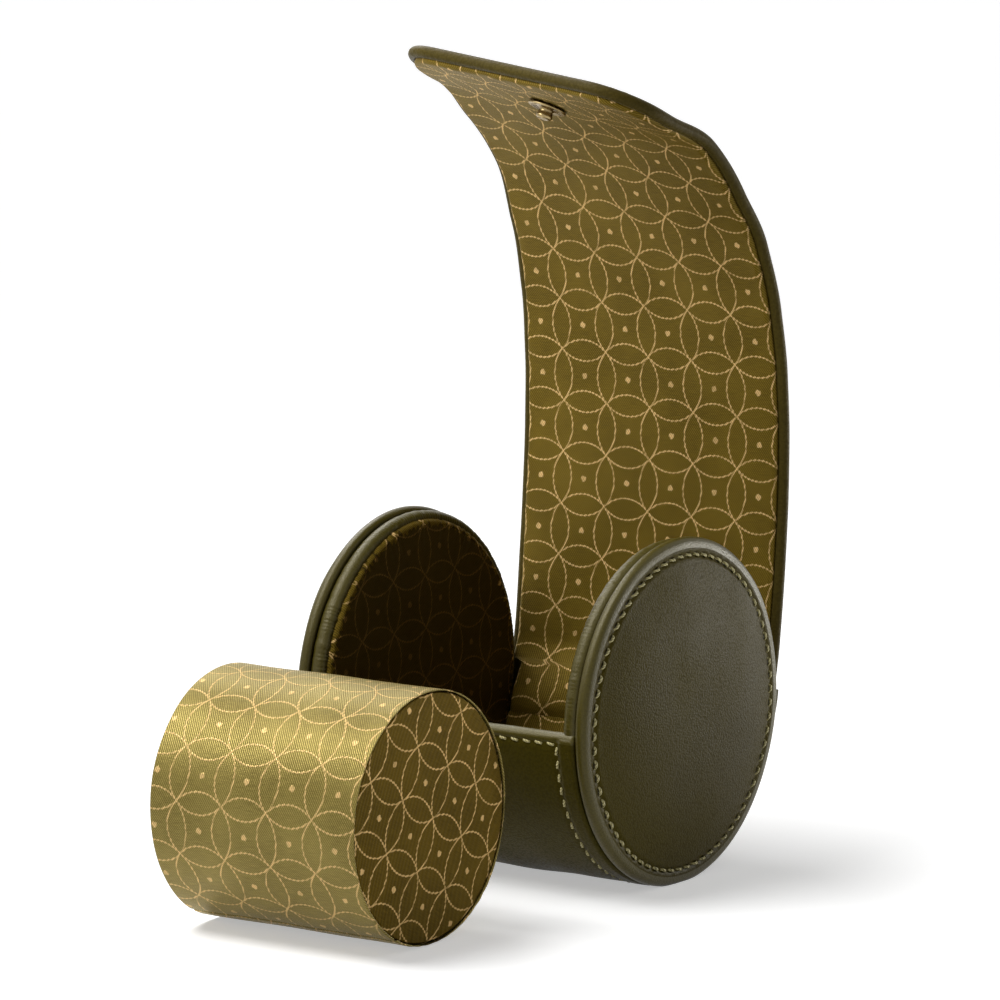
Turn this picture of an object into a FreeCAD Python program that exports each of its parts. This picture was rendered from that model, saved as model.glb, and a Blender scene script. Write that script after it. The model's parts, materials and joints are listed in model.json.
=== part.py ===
"""Watch roll: a round case with padded end caps, a flap that wraps over it and snaps, and a loose pillow.

Millimetres. X runs along the case's axis, -Y is the front, +Z is up and the case stands on z = 0.
"""
import FreeCAD, Part
import math
import operator
import os

import Sketcher
from FreeCAD import Placement, Rotation, Vector

ACROSS = Vector(1, 0, 0)
UP = Vector(0, 0, 1)
HALF_TURN = Rotation(UP, 180)
# Turns a piece drawn along Z so that it runs along X
LAID_ALONG = Rotation(Vector(1, 1, 1), 120)
# Turns a piece drawn along X so that its X points to the lining side of a flap panel
FACE_IN = Rotation(UP, -90)

# The flap bends as this many hinged panels, and its end is pressed onto the snap at one of the hinges
PANELS = 10
PRESS_HINGE = 8
# Cutting tools reach past what they cut by this many times its own size
REACH = 2
# Two places closer than this, in millimetres, are the same
SMALL = 0.001

# Driving sizes: lengths in millimetres, angles in degrees.
SIZES = {
    # end caps
    "half_length": 41.6,
    "disc_radius": 41.0,
    "disc_depth": 3.0,
    "face_crown": 0.4,
    "rim_round": 1.3,
    "rim_wall": 1.4,
    "face_leather": 0.9,
    "cap_board_depth": 1.4,
    "ring_depth": 3.8,
    "ring_leather": 1.1,
    "ring_round": 0.9,
    "pad_inset": 1.3,
    "pad_edge": 0.9,
    "pad_crown": 0.8,
    "pad_cloth": 0.5,
    "pad_round": 0.6,
    # trough
    "trough_inset": 0.1,
    "trough_leather": 1.2,
    "trough_board": 1.5,
    "trough_lining": 1.0,
    "side_gap": 0.2,
    "front_trim": 1.8,
    "flat_depth": 0.6,
    # flap section
    "flap_thickness": 5.5,
    "flap_leather": 1.9,
    "lip_width": 2.4,
    "lip_setback": 1.4,
    "lip_round": 1.5,
    "lining_round": 1.8,
    "corner_round": 14.0,
    "hinge_gap": 0.35,
    "wrap_gap": 0.3,
    # flap at rest: lean at the case, an even curl at each hinge, a crest of extra curl, and a twist
    "flap_lean": 7.1,
    "curl_step": 0.67,
    "crest_turn": 107.8,
    "crest_place": 139.3,
    "crest_spread": 48.5,
    "twist_first": 0.66,
    "twist_last": -2.85,
    # wedge where the flap leaves the case
    "wedge_span": 50.0,
    "wedge_thickness": 5.4,
    "wedge_slope": 16.0,
    "wedge_belly": 3.1,
    # snap
    "stud_setback": 18.8,
    "flange_radius": 4.65,
    "flange_depth": 0.8,
    "post_radius": 2.0,
    "post_height": 2.4,
    "post_round": 0.8,
    "shank_radius": 1.2,
    "anchor_radius": 5.0,
    "anchor_depth": 0.8,
    "socket_below": 30.5,
    "socket_radius": 5.8,
    "socket_drop": 1.0,
    "socket_play": 1.0,
    "plate_depth": 0.6,
    # pillow
    "pillow_radius": 29.05,
    "pillow_length": 58.1,
    "pillow_cloth": 0.6,
    "pillow_board": 1.2,
    "pillow_crown": 0.5,
    "pillow_round": 0.4,
    "pillow_aside": 3.4,
    "pillow_forward": 87.8,
}


class Size:
    """A length or angle, known as a number and as the text that binds it to the sheet."""

    def __init__(self, text, value):
        self.text = text
        self.value = value

    def __add__(self, other):
        return joined(self, "+", other, operator.add)

    def __sub__(self, other):
        return joined(self, "-", other, operator.sub)

    def __mul__(self, other):
        return joined(self, "*", other, operator.mul)

    def __truediv__(self, other):
        return joined(self, "/", other, operator.truediv)

    def __neg__(self):
        return joined(0, "-", self, operator.sub)


def joined(left, sign, right, rule):
    left = left if isinstance(left, Size) else Size(str(left), left)
    right = right if isinstance(right, Size) else Size(str(right), right)
    return Size(f"({left.text} {sign} {right.text})", rule(left.value, right.value))


def cosine(angle):
    return Size(f"cos({angle.text})", math.cos(math.radians(angle.value)))


def sine(angle):
    return Size(f"sin({angle.text})", math.sin(math.radians(angle.value)))


def tangent(angle):
    return Size(f"tan({angle.text})", math.tan(math.radians(angle.value)))


def crown_radius(half_chord, rise):
    """Radius of the arc that rises this far over half its chord."""
    return (half_chord * half_chord + rise * rise) / (rise * 2)


doc = FreeCAD.newDocument("watch_roll")
sheet = doc.addObject("Spreadsheet::Sheet", "Sizes")
for row, (alias, number) in enumerate(SIZES.items(), start=1):
    sheet.set(f"A{row}", alias)
    sheet.set(f"B{row}", str(number))
    sheet.setAlias(f"B{row}", alias)
doc.recompute()


def size(alias):
    return Size(f"Sizes.{alias}", float(sheet.get(alias)))


NOTHING = Size("0", 0.0)
HALF_ROUND = Size("180", 180.0)
nodes = []


# Helpers that draw outlines and make solids from them

def arc_between(start, end, radius):
    """Arc from start to end; a positive radius bulges to the right of the way, a negative one to the left."""
    way = end - start
    left = Vector(-way.y, way.x, 0).normalize()
    reach = math.sqrt(max(radius * radius - (way.Length / 2) ** 2, 0))
    centre = (start + end) / 2 + left * math.copysign(reach, radius)
    first, last = (start, end) if radius > 0 else (end, start)
    begin = math.atan2(first.y - centre.y, first.x - centre.x)
    finish = math.atan2(last.y - centre.y, last.x - centre.x)
    if finish < begin:
        finish += 2 * math.pi
    return Part.ArcOfCircle(Part.Circle(centre, UP, abs(radius)), begin, finish)


def outline(body, role, corners, bends):
    """Sketch through the corners, run anticlockwise. bends gives the radius of each side that is an arc."""
    sketch = body.newObject("Sketcher::SketchObject", body.Name + "_outline")
    plane = next(item for item in body.Origin.OriginFeatures if item.Role == role)
    sketch.AttachmentSupport = [(plane, "")]
    sketch.MapMode = "FlatFace"
    points = [Vector(u.value, v.value, 0) for u, v in corners]
    starts = []
    ends = []
    for side, start in enumerate(points):
        end = points[(side + 1) % len(points)]
        bend = bends.get(side)
        if bend is None:
            sketch.addGeometry(Part.LineSegment(start, end), False)
        else:
            sketch.addGeometry(arc_between(start, end, bend.value), False)
        forward = bend is None or bend.value > 0
        starts.append(1 if forward else 2)
        ends.append(2 if forward else 1)
    for side in range(len(points)):
        after = (side + 1) % len(points)
        sketch.addConstraint(Sketcher.Constraint("Coincident", side, ends[side], after, starts[after]))
    bound = []
    for side, (u, v) in enumerate(corners):
        for kind, axis, place in (("DistanceX", -2, u), ("DistanceY", -1, v)):
            if place is NOTHING:
                sketch.addConstraint(Sketcher.Constraint("PointOnObject", side, starts[side], axis))
            else:
                mark = Sketcher.Constraint(kind, -1, 1, side, starts[side], place.value)
                bound.append((sketch.addConstraint(mark), place.text))
        if side in bends:
            mark = Sketcher.Constraint("Radius", side, abs(bends[side].value))
            text = bends[side].text if bends[side].value > 0 else f"(0 - {bends[side].text})"
            bound.append((sketch.addConstraint(mark), text))
    for number, text in bound:
        sketch.setExpression(f"Constraints[{number}]", text)
    return sketch


def new_body(label):
    body = doc.addObject("PartDesign::Body", label)
    body.Label = label
    return body


def turned(label, corners, bends):
    """Solid of revolution about its own X axis, from (along, radius) corners."""
    body = new_body(label)
    feature = body.newObject("PartDesign::Revolution", label + "_turn")
    feature.Profile = outline(body, "XY_Plane", corners, bends)
    feature.ReferenceAxis = (feature.Profile[0], ["H_Axis"])
    feature.Angle = 360
    return body


def padded(label, role, corners, bends, depth, reverse=False):
    """Solid pushed out of a flat outline by depth."""
    body = new_body(label)
    feature = body.newObject("PartDesign::Pad", label + "_pad")
    feature.Profile = outline(body, role, corners, bends)
    feature.setExpression("Length", depth.text)
    feature.Reversed = reverse
    return body


def cylinder(label, radius, height, sweep=None):
    solid = doc.addObject("Part::Cylinder", label)
    solid.Label = label
    solid.setExpression("Radius", radius.text)
    solid.setExpression("Height", height.text)
    if sweep is not None:
        solid.setExpression("Angle", sweep.text)
    return solid


def cut(label, base, tool):
    solid = doc.addObject("Part::Cut", label)
    solid.Label = label
    solid.Base = base
    solid.Tool = tool
    return solid


def node(solid):
    nodes.append(solid)
    return solid


# Places along the case that several pieces share

axis_height = size("disc_radius") - size("flat_depth")
face_rim = size("half_length") - size("face_crown")
disc_back = face_rim - size("disc_depth")
ring_face = disc_back - size("ring_depth")
pad_rim = ring_face - size("pad_edge")
trough_half = pad_rim - size("side_gap")
trough_radius = size("disc_radius") - size("trough_inset")
board_outer = trough_radius - size("trough_leather")
lining_outer = board_outer - size("trough_board")
trough_inner = lining_outer - size("trough_lining")
pad_radius = board_outer - size("pad_inset")
wall = trough_radius - trough_inner

case_axis = Placement(Vector(0, 0, axis_height.value), Rotation())


def both_ends(make):
    """Makes an end piece twice: at +X as drawn, and turned half round at -X."""
    for side, turn in (("right", Rotation()), ("left", HALF_TURN)):
        solid = make(side)
        solid.Placement = Placement(case_axis.Base, turn)
        yield solid


# Flap places: rest is the photographed curl, closed is a regular wrap round the case

# The closed flap goes over the case and down the front until the socket is at mid-panel
wrap_radius = trough_radius + size("wrap_gap")
half_wrap = (HALF_ROUND + size("front_trim") + size("socket_below")) / (2 * PANELS - 1)
wrap_turn = 2 * half_wrap.value
panel_length = wrap_radius * tangent(half_wrap) * 2
hinge_place = Vector(0, (wrap_radius / cosine(half_wrap)).value, axis_height.value)


def rest_twist(hinge):
    """Twist that the open flap's own shape asks for at one hinge."""
    first = size("twist_first").value
    last = size("twist_last").value
    return first + (last - first) * hinge / PANELS


def rest_bend(hinge):
    """Bend and twist that the open flap has at one hinge."""
    along = hinge * panel_length.value
    spread = size("crest_spread").value
    crest = size("crest_turn").value / (spread * math.sqrt(2 * math.pi))
    crest *= math.exp(-0.5 * ((along - size("crest_place").value) / spread) ** 2)
    bend = size("curl_step").value + crest * panel_length.value
    twist = rest_twist(hinge)
    # the end is pressed on by a plain bend, so the hinges on both sides share that one's twist
    if hinge == PRESS_HINGE:
        twist = 0
    elif abs(hinge - PRESS_HINGE) == 1:
        twist += rest_twist(PRESS_HINGE) / 2
    return Rotation(ACROSS, bend) * Rotation(UP, twist)


def closed_bend(hinge):
    return Rotation(ACROSS, wrap_turn)


def flap_places(start_tilt, bend_at):
    """Each panel's lower edge, its middle on the lining face, with Z along the flap and Y outwards."""
    place = Placement(hinge_place, Rotation(ACROSS, start_tilt))
    places = [place]
    for hinge in range(1, PANELS):
        place = place * Placement(Vector(0, 0, panel_length.value), bend_at(hinge))
        places.append(place)
    return places


rest_places = flap_places(-size("flap_lean").value, rest_bend)
closed_places = flap_places(half_wrap.value, closed_bend)

# The stud stands on the last panel, which runs on past it to the flap's end
stud_along = panel_length / 2
stud_shift = Placement(Vector(0, 0, stud_along.value), Rotation())
stud_place = rest_places[-1] * stud_shift
socket_place = closed_places[-1] * stud_shift


# End caps

def cap_leather(side):
    inner_rim = size("disc_radius") - size("rim_wall")
    outer_rim = size("disc_radius") - size("rim_round")
    inside = size("half_length") - size("face_leather")
    corners = [
        (disc_back, inner_rim),
        (face_rim - size("face_leather"), inner_rim),
        (inside, NOTHING),
        (size("half_length"), NOTHING),
        (face_rim, outer_rim),
        (face_rim - size("rim_round"), size("disc_radius")),
        (disc_back + size("rim_round"), size("disc_radius")),
        (disc_back, outer_rim),
    ]
    bends = {
        1: -crown_radius(inner_rim, size("face_crown")),
        3: crown_radius(outer_rim, size("face_crown")),
        4: size("rim_round"),
        6: size("rim_round"),
    }
    return turned(f"{side}_cap_blank", corners, bends)


def cap_foam(side):
    rim = size("disc_radius") - size("rim_wall")
    back = disc_back + size("cap_board_depth")
    corners = [
        (back, NOTHING),
        (size("half_length") - size("face_leather"), NOTHING),
        (face_rim - size("face_leather"), rim),
        (back, rim),
    ]
    return node(turned(f"{side}_cap_foam", corners, {1: crown_radius(rim, size("face_crown"))}))


def cap_board(side):
    rim = size("disc_radius") - size("rim_wall")
    front = disc_back + size("cap_board_depth")
    corners = [(disc_back, NOTHING), (front, NOTHING), (front, rim), (disc_back, rim)]
    return node(turned(f"{side}_cap_board", corners, {}))


def ring_core(side):
    rim = board_outer - size("ring_leather")
    corners = [(ring_face, NOTHING), (disc_back, NOTHING), (disc_back, rim), (ring_face, rim)]
    return node(turned(f"{side}_ring_core", corners, {}))


def ring_leather(side):
    inner = board_outer - size("ring_leather")
    corners = [
        (ring_face, inner),
        (disc_back, inner),
        (disc_back, board_outer),
        (ring_face + size("ring_round"), board_outer),
        (ring_face, board_outer - size("ring_round")),
    ]
    return node(turned(f"{side}_ring_leather", corners, {3: size("ring_round")}))


def pad_foam(side):
    rim = pad_radius - size("pad_cloth")
    edge = pad_rim + size("pad_cloth")
    corners = [(edge - size("pad_crown"), NOTHING), (ring_face, NOTHING), (ring_face, rim), (edge, rim)]
    return node(turned(f"{side}_pad_foam", corners, {3: crown_radius(rim, size("pad_crown"))}))


def pad_cloth(side):
    inner = pad_radius - size("pad_cloth")
    shoulder = pad_radius - size("pad_round")
    edge = pad_rim + size("pad_cloth")
    corners = [
        (pad_rim - size("pad_crown"), NOTHING),
        (edge - size("pad_crown"), NOTHING),
        (edge, inner),
        (ring_face, inner),
        (ring_face, pad_radius),
        (pad_rim + size("pad_round"), pad_radius),
        (pad_rim, shoulder),
    ]
    bends = {
        1: -crown_radius(inner, size("pad_crown")),
        5: size("pad_round"),
        6: crown_radius(shoulder, size("pad_crown")),
    }
    return node(turned(f"{side}_pad_cloth", corners, bends))


# Everything that meets the table is cut level with it
floor_block = doc.addObject("Part::Box", "below_the_table")
block_length = size("half_length") * 2 * REACH
block_width = size("disc_radius") * 2 * REACH
block_height = size("disc_radius")
floor_block.setExpression("Length", block_length.text)
floor_block.setExpression("Width", block_width.text)
floor_block.setExpression("Height", block_height.text)
block_corner = Vector(-block_length.value / 2, -block_width.value / 2, -block_height.value)
floor_block.Placement = Placement(block_corner, Rotation())

for make_piece in (cap_board, cap_foam, ring_core, ring_leather, pad_foam, pad_cloth):
    list(both_ends(make_piece))
for blank in list(both_ends(cap_leather)):
    node(cut(blank.Label.replace("blank", "leather"), blank, floor_block))


# Trough: three half tubes from the front edge round under the case to the back

def half_tube(label, outer, inner, half):
    """Part of a tube along X, from the front trim round under the case to the back at axis height."""
    sweep = HALF_ROUND - size("front_trim")
    # the sector starts at the front, trimmed below the axis, and runs under the case
    turn = Rotation(ACROSS, (HALF_ROUND + size("front_trim")).value) * LAID_ALONG
    place = Placement(Vector(-half.value, 0, axis_height.value), turn)
    outside = cylinder(label + "_outside", outer, half * 2, sweep)
    inside = cylinder(label + "_inside", inner, half * 2)
    outside.Placement = place
    inside.Placement = place
    return cut(label, outside, inside)


def across_panel(solid, place, outward):
    """Stands a cylinder on a panel's lining face, rising outwards from a height along the panel's Y."""
    lift = Placement(Vector(0, outward.value, 0), Rotation(ACROSS, -90))
    solid.Placement = place * lift
    return solid


socket_deep = trough_radius + size("wrap_gap") - trough_inner
socket_hole = cylinder("socket_hole", size("socket_radius"), socket_deep * 2 * REACH)
across_panel(socket_hole, socket_place, -socket_deep * REACH)

leather_tube = half_tube("trough_leather_tube", trough_radius, board_outer, disc_back)
leather_flat = cut("trough_leather_flat", leather_tube, floor_block)
node(cut("trough_leather", leather_flat, socket_hole))
board_tube = half_tube("trough_board_tube", board_outer, lining_outer, trough_half)
node(cut("trough_board", board_tube, socket_hole))
lining_tube = half_tube("trough_lining_tube", lining_outer, trough_inner, trough_half)
node(cut("trough_lining", lining_tube, socket_hole))

# Rolled bead that closes the front edge of the three layers
front_bead = node(cylinder("front_bead", wall / 2, trough_half * 2, HALF_ROUND))
bead_radius = (trough_radius + trough_inner) / 2
bead_turn = Rotation(ACROSS, size("front_trim").value)
bead_centre = bead_turn.multVec(Vector(0, -bead_radius.value, 0))
bead_start = Vector(-trough_half.value, bead_centre.y, axis_height.value + bead_centre.z)
front_bead.Placement = Placement(bead_start, bead_turn * LAID_ALONG)

# Wedge that thickens the back wall up to the flap's first hinge
wedge_tip = (
    trough_radius * cosine(size("wedge_span")),
    -(trough_radius * sine(size("wedge_span"))),
)
wedge_top = (
    trough_radius + size("wedge_thickness"),
    -(size("wedge_thickness") * tangent(size("wedge_slope"))),
)
wedge_corners = [wedge_tip, wedge_top, (trough_radius, NOTHING)]
wedge_bends = {0: trough_radius + size("wedge_belly"), 2: -trough_radius}
flap_wedge = node(padded("flap_wedge", "YZ_Plane", wedge_corners, wedge_bends, disc_back * 2))
flap_wedge.Placement = Placement(Vector(-disc_back.value, 0, axis_height.value), Rotation())


# Flap panels, drawn with X across, Y outwards from the lining face and Z along the flap

# the flap is as wide as the case is between its end discs
flap_half_width = disc_back
bed = size("flap_thickness") - size("flap_leather")
lip_inner = flap_half_width - size("lip_width")
built_length = panel_length - size("hinge_gap")
half_gap = Placement(Vector(0, 0, size("hinge_gap").value / 2), Rotation())


def panel_leather(number):
    wide = flap_half_width
    bend = size("lip_round")
    front = size("lip_setback")
    back = size("flap_thickness")
    corners = [
        (-wide + bend, front),
        (-lip_inner, front),
        (-lip_inner, bed),
        (lip_inner, bed),
        (lip_inner, front),
        (wide - bend, front),
        (wide, front + bend),
        (wide, back - bend),
        (wide - bend, back),
        (-wide + bend, back),
        (-wide, back - bend),
        (-wide, front + bend),
    ]
    bends = {5: bend, 7: bend, 9: bend, 11: bend}
    return padded(f"flap_leather_{number}", "XY_Plane", corners, bends, built_length)


def panel_lining(number):
    bend = size("lining_round")
    corners = [
        (-lip_inner + bend, NOTHING),
        (lip_inner - bend, NOTHING),
        (lip_inner, bend),
        (lip_inner, bed),
        (-lip_inner, bed),
        (-lip_inner, bend),
    ]
    return padded(f"flap_lining_{number}", "XY_Plane", corners, {1: bend, 5: bend}, built_length)


def tip_plate(label, half, length, bend, depth):
    """Plate with its two far corners rounded, lying across X and along Z and thickening towards +Y."""
    corners = [
        (-half, NOTHING),
        (half, NOTHING),
        (half, length - bend),
        (half - bend, length),
        (-half + bend, length),
        (-half, length - bend),
    ]
    return padded(label, "XZ_Plane", corners, {2: bend, 4: bend}, depth, reverse=True)


def round_rim(body, radius, levels):
    """Rounds the edges of a tip plate that lie flat at these heights, apart from those at the hinge."""
    doc.recompute()
    plate = body.Tip
    names = []
    for number, edge in enumerate(plate.Shape.Edges, start=1):
        box = edge.BoundBox
        flat = box.YLength < SMALL and any(abs(box.Center.y - level.value) < SMALL for level in levels)
        if flat and box.ZMax > SMALL:
            names.append(f"Edge{number}")
    fillet = body.newObject("PartDesign::Fillet", body.Name + "_fillet")
    fillet.Base = (plate, names)
    fillet.setExpression("Radius", radius.text)


def lifted(solid, place, outward):
    solid.Placement = place * Placement(Vector(0, outward.value, 0), Rotation())
    return solid


for number in range(1, PANELS):
    place = rest_places[number - 1] * half_gap
    for panel in (panel_leather(number), panel_lining(number)):
        panel.Placement = place
        node(panel)

tip_place = rest_places[-1] * half_gap
tip_length = stud_along + size("stud_setback") - size("hinge_gap") / 2
inner_length = tip_length - size("lip_width")
inner_round = size("corner_round") - size("lip_width")
tray_depth = size("flap_thickness") - size("lip_setback")
tip_tray = tip_plate("tip_tray", flap_half_width, tip_length, size("corner_round"), tray_depth)
round_rim(tip_tray, size("lip_round"), [NOTHING, tray_depth])
lifted(tip_tray, tip_place, size("lip_setback"))
tip_bed = tip_plate("tip_bed", lip_inner, inner_length, inner_round, bed - size("lip_setback"))
lifted(tip_bed, tip_place, size("lip_setback"))
node(cut(f"flap_leather_{PANELS}", tip_tray, tip_bed))

tip_pad = tip_plate("tip_pad", lip_inner, inner_length, inner_round, bed)
round_rim(tip_pad, size("lining_round"), [NOTHING])
lifted(tip_pad, tip_place, NOTHING)
shank_hole = across_panel(cylinder("shank_hole", size("shank_radius"), bed), stud_place, NOTHING)
anchor_hole = cylinder("anchor_hole", size("anchor_radius"), size("anchor_depth"))
across_panel(anchor_hole, stud_place, bed - size("anchor_depth"))
tip_drilled = cut("tip_drilled", tip_pad, shank_hole)
node(cut(f"flap_lining_{PANELS}", tip_drilled, anchor_hole))


# Snap: stud on the flap, socket in the front wall

def snap_piece(label, corners, bends, place):
    """Round piece whose X runs from the lining face towards the case."""
    solid = turned(label, corners, bends)
    solid.Placement = place * Placement(Vector(), FACE_IN)
    return node(solid)


post_top = size("flange_depth") + size("post_height")
snap_piece("snap_stud", [
    (NOTHING, NOTHING),
    (post_top, NOTHING),
    (post_top, size("post_radius") - size("post_round")),
    (post_top - size("post_round"), size("post_radius")),
    (size("flange_depth"), size("post_radius")),
    (size("flange_depth"), size("flange_radius")),
    (NOTHING, size("flange_radius")),
], {2: size("post_round")}, stud_place)

anchor_top = -bed + size("anchor_depth")
snap_piece("stud_anchor", [
    (-bed, NOTHING),
    (NOTHING, NOTHING),
    (NOTHING, size("shank_radius")),
    (anchor_top, size("shank_radius")),
    (anchor_top, size("anchor_radius")),
    (-bed, size("anchor_radius")),
], {}, stud_place)

socket_face = size("wrap_gap") + size("socket_drop")
bore_radius = size("post_radius") + size("socket_play")
snap_piece("snap_socket", [
    (socket_face, bore_radius),
    (socket_deep, bore_radius),
    (socket_deep, size("socket_radius")),
    (socket_face, size("socket_radius")),
], {}, socket_place)
plate_back = socket_deep + size("plate_depth")
snap_piece("socket_plate", [
    (socket_deep, NOTHING),
    (plate_back, NOTHING),
    (plate_back, size("socket_radius")),
    (socket_deep, size("socket_radius")),
], {}, socket_place)


# Pillow, lying in front of the case with its axis along X

pillow_half = size("pillow_length") / 2
sleeve_half = pillow_half - size("pillow_crown")
sleeve_inner = size("pillow_radius") - size("pillow_cloth")
board_face = sleeve_half - size("pillow_cloth")
core_half = board_face - size("pillow_board")
pillow_place = Vector(size("pillow_aside").value, -size("pillow_forward").value, size("pillow_radius").value)


def pillow_sleeve():
    bend = size("pillow_round")
    outer = size("pillow_radius")
    corners = [
        (-sleeve_half, sleeve_inner),
        (sleeve_half, sleeve_inner),
        (sleeve_half, outer - bend),
        (sleeve_half - bend, outer),
        (-sleeve_half + bend, outer),
        (-sleeve_half, outer - bend),
    ]
    return turned("pillow_sleeve", corners, {2: bend, 4: bend})


def pillow_core():
    corners = [
        (-core_half, NOTHING),
        (core_half, NOTHING),
        (core_half, sleeve_inner),
        (-core_half, sleeve_inner),
    ]
    return turned("pillow_core", corners, {})


def pillow_board(side):
    corners = [
        (core_half, NOTHING),
        (board_face, NOTHING),
        (board_face, sleeve_inner),
        (core_half, sleeve_inner),
    ]
    return turned(f"pillow_{side}_board", corners, {})


def pillow_end(side):
    corners = [
        (board_face, NOTHING),
        (pillow_half, NOTHING),
        (sleeve_half, sleeve_inner),
        (board_face, sleeve_inner),
    ]
    return turned(f"pillow_{side}_end", corners, {1: crown_radius(sleeve_inner, size("pillow_crown"))})


for solid in (pillow_sleeve(), pillow_core()):
    solid.Placement = Placement(pillow_place, Rotation())
    node(solid)
for side, turn in (("right", Rotation()), ("left", HALF_TURN)):
    for solid in (pillow_board(side), pillow_end(side)):
        solid.Placement = Placement(pillow_place, turn)
        node(solid)


def check():
    """Stops if any object failed to build or any piece is empty, broken or not one solid."""
    for item in doc.Objects:
        if "Invalid" in item.State or "Error" in item.State:
            raise RuntimeError(f"{item.Label} failed: {item.State}")
    for item in nodes:
        if item.Shape.isNull() or not item.Shape.isValid():
            raise RuntimeError(f"{item.Label} has no valid shape")
        if len(item.Shape.Solids) != 1:
            raise RuntimeError(f"{item.Label} has {len(item.Shape.Solids)} solids")


doc.recompute()
check()
os.makedirs("parts", exist_ok=True)
for item in nodes:
    item.Shape.exportStep(f"parts/{item.Label}.step")
print(len(nodes), "pieces")
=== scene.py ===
"""Looks of a watch roll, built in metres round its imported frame.

X runs along the case's axis, -Y is the front, +Z is up and the roll stands on z = 0.
"""
import json
import math

import bmesh
import bpy
import numpy as np
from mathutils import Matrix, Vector


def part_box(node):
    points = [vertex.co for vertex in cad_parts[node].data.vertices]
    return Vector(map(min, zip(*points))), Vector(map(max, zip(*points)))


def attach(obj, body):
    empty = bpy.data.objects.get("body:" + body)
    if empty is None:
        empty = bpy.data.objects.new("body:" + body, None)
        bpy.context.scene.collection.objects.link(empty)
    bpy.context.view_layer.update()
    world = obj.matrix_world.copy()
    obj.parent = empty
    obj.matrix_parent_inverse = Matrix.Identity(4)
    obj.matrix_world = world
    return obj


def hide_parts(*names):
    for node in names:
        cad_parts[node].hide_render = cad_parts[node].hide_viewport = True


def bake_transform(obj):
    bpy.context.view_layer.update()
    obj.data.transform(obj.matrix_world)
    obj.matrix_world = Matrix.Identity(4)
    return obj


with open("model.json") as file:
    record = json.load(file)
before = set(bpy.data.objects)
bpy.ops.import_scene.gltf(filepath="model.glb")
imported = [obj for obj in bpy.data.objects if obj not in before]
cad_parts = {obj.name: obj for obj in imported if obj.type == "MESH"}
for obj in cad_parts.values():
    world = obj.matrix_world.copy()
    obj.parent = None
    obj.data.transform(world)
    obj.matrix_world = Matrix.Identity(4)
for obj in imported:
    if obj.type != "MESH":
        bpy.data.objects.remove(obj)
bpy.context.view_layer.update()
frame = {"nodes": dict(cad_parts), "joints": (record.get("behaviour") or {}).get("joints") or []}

MM = 0.001
FULL_TURN = 2 * math.pi

# Sizes read from the frame

cap_low, cap_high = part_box("right_cap_leather")
ring_low, ring_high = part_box("right_ring_leather")
pad_low, pad_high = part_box("right_pad_cloth")
_, trough_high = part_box("trough_leather")
_, lining_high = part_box("trough_lining")
_, bead_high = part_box("front_bead")
sleeve_low, sleeve_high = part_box("pillow_sleeve")
left_end_low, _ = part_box("pillow_left_end")
_, right_end_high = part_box("pillow_right_end")

disc_radius = cap_high.y
axis_z = cap_high.z - disc_radius
trough_radius = trough_high.y
trough_half = trough_high.x

# Leather and cloth sizes that the frame's boxes don't give

FACE_CROWN = 0.4 * MM
FACE_DOME = 2.2 * MM
RIM_ROUND = 1.35 * MM
SEAM_INSET = 3.95 * MM
SEAM_WIDTH = 0.75 * MM
SEAM_PULL = 0.24 * MM
FLAP_SEAM_PULL = 0.22 * MM
STITCH_PITCH = 3.3 * MM
STITCH_LENGTH = 2.45 * MM
STITCH_SLANT = math.radians(9)
THREAD_RADIUS = 0.33 * MM
LINING_DEPTH = 1.0 * MM
FRONT_SEAM_DROP = 3.8 * MM
FLAP_THICKNESS = 5.5 * MM
FLAP_BED = 3.6 * MM
LIP_WIDTH = 2.1 * MM
LIP_ROUND = 1.45 * MM
LIP_RISE = 12 * MM
LIP_SETBACK = 1.2 * MM
CORNER_ROUND = 14.0 * MM
LINING_ROUND = 1.1 * MM
WEDGE_START = math.radians(-50)
LEAD_IN = 14 * MM
SKIN_LEAD = 1.5 * MM
ROOT_THINNING = 0.2
ROOT_REACH = 11 * MM
RIM_START = 1.5 * MM
EDGE_BAND = 2.4 * MM
CAP_STITCH_LIFT = 0.1 * MM
FLAP_STITCH_SINK = 0.2 * MM
TROUGH_STITCH_SINK = 0.12 * MM
side_seam = lining_high.x
trough_inner = lining_high.y - LINING_DEPTH


# Mesh helpers

WELD = 0.001 * MM
NEARLY_NOTHING = 1e-9


def link(name, data):
    piece = bpy.data.objects.new(name, data)
    bpy.context.scene.collection.objects.link(piece)
    return piece


def build(name, points, faces, uv, material):
    """Smooth mesh with coincident points welded. uv is each point's flat place, in millimetres."""
    keys = np.round(np.asarray(points) / WELD).astype(np.int64)
    _, first, index = np.unique(keys, axis=0, return_index=True, return_inverse=True)
    index = index.ravel()
    polygons = []
    places = []
    for face in faces:
        kept = [n for step, n in enumerate(face) if index[n] != index[face[step - 1]]]
        if len(kept) > 2:
            polygons.append([int(index[n]) for n in kept])
            places.extend(kept)
    mesh = bpy.data.meshes.new(name)
    mesh.from_pydata(np.asarray(points)[first].tolist(), [], polygons)
    layer = mesh.uv_layers.new(name="flat")
    layer.data.foreach_set("uv", np.asarray(uv, np.float32)[places].ravel())
    mesh.materials.append(material)
    mesh.shade_smooth()
    return link(name, mesh)


def grid_faces(rows, columns, start=0):
    corner = (np.arange(rows - 1)[:, None] * columns + np.arange(columns - 1)[None, :]).ravel() + start
    return np.stack([corner, corner + 1, corner + columns + 1, corner + columns], 1)


def rows_of(*columns):
    """One row for each place of the given columns."""
    return np.stack(np.broadcast_arrays(*columns), -1).reshape(-1, len(columns))


def off_axis(points, way):
    """Distance of each point from an axis through the origin."""
    return np.linalg.norm(points - np.outer(points @ way, way), axis=1)


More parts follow.
